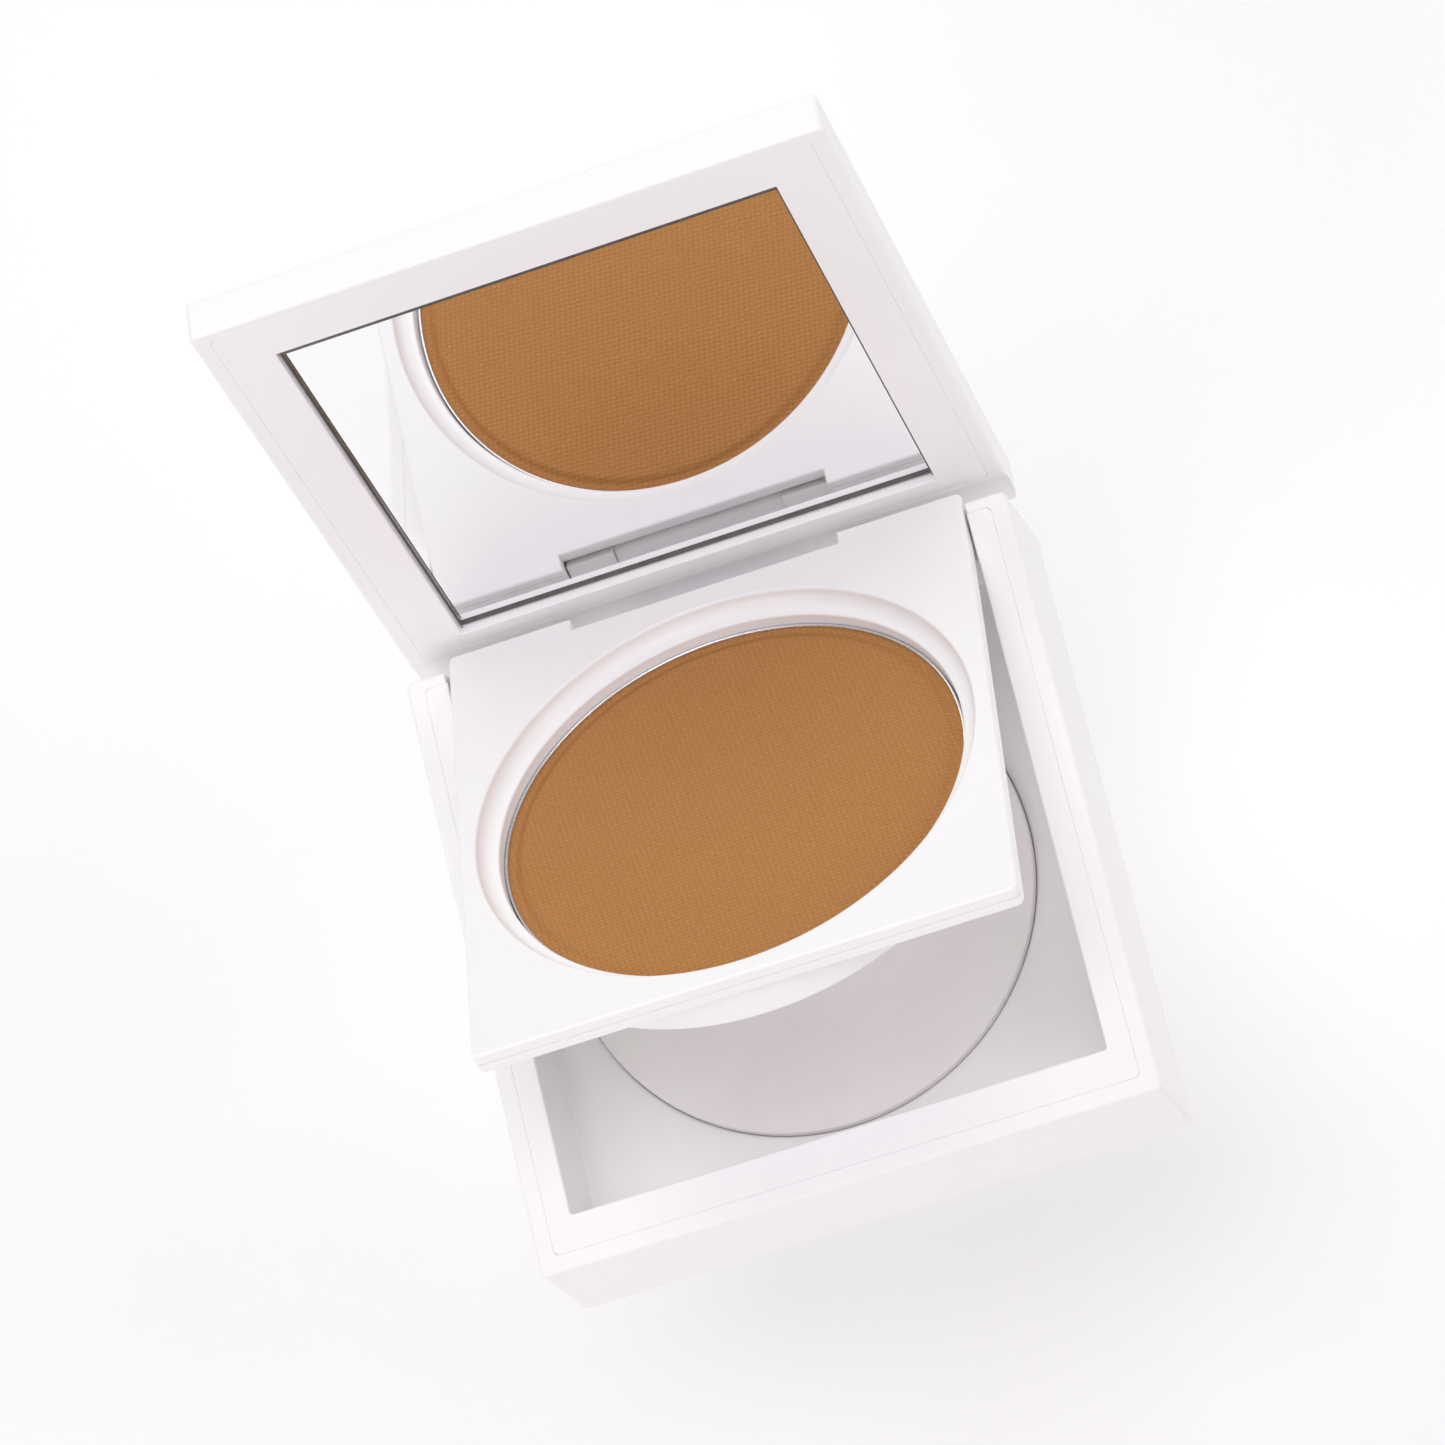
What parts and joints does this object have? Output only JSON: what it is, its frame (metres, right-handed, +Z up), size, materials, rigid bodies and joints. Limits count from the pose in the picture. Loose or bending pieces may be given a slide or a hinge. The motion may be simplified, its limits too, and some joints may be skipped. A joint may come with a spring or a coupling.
{
  "type": "powder compact",
  "caption": "Square powder compact: hinged mirrored lid, lift-up tray with a round pan of pressed powder, and a base well that holds a round sponge.",
  "frame": {"origin": "centre of the base's underside", "axes": "+X to the right, +Y from the front edge back to the hinge, +Z up from the underside"},
  "size_m": [0.079, 0.1073, 0.0841],
  "materials": {
    "case_plastic": "satin",
    "inner_plastic": "satin",
    "tray_plastic": "satin",
    "sponge_foam": "matte",
    "pin_steel": "satin",
    "magnet_metal": "satin",
    "mirror_glass": "polished",
    "adhesive": "matte",
    "pan_aluminium": "satin",
    "powder": "matte"
  },
  "bodies": {
    "base": {"base_shell": "case_plastic", "base_liner": "inner_plastic", "hinge_pin": "pin_steel", "base_magnets": "magnet_metal"},
    "sponge": {"sponge": "sponge_foam"},
    "lid": {"lid_shell": "case_plastic", "mirror_frame": "inner_plastic", "mirror": "mirror_glass", "mirror_adhesive": "adhesive", "lid_magnets": "magnet_metal"},
    "tray": {"tray_top": "tray_plastic", "tray_underside": "tray_plastic", "powder_pan": "pan_aluminium", "pan_adhesive": "adhesive", "pressed_powder": "powder"}
  },
  "joints": [
    {"name": "lid_hinge", "type": "hinge", "parent": "base", "child": "lid", "pos_m": [0, 0.0368, 0.012], "axis": [-1, 0, 0], "range_deg": [-105, 10]},
    {"name": "tray_hinge", "type": "hinge", "parent": "base", "child": "tray", "pos_m": [0, 0.0368, 0.012], "axis": [-1, 0, 0], "range_deg": [-28.75, 2.8]},
    {"name": "sponge_lift", "type": "slide", "parent": "base", "child": "sponge", "axis": [0, 0, 1], "range_m": [0, 0.003]}
  ],
  "couplings": [
    {"joint": "tray_hinge", "follows": "lid_hinge", "ratio": 0.27333}
  ]
}
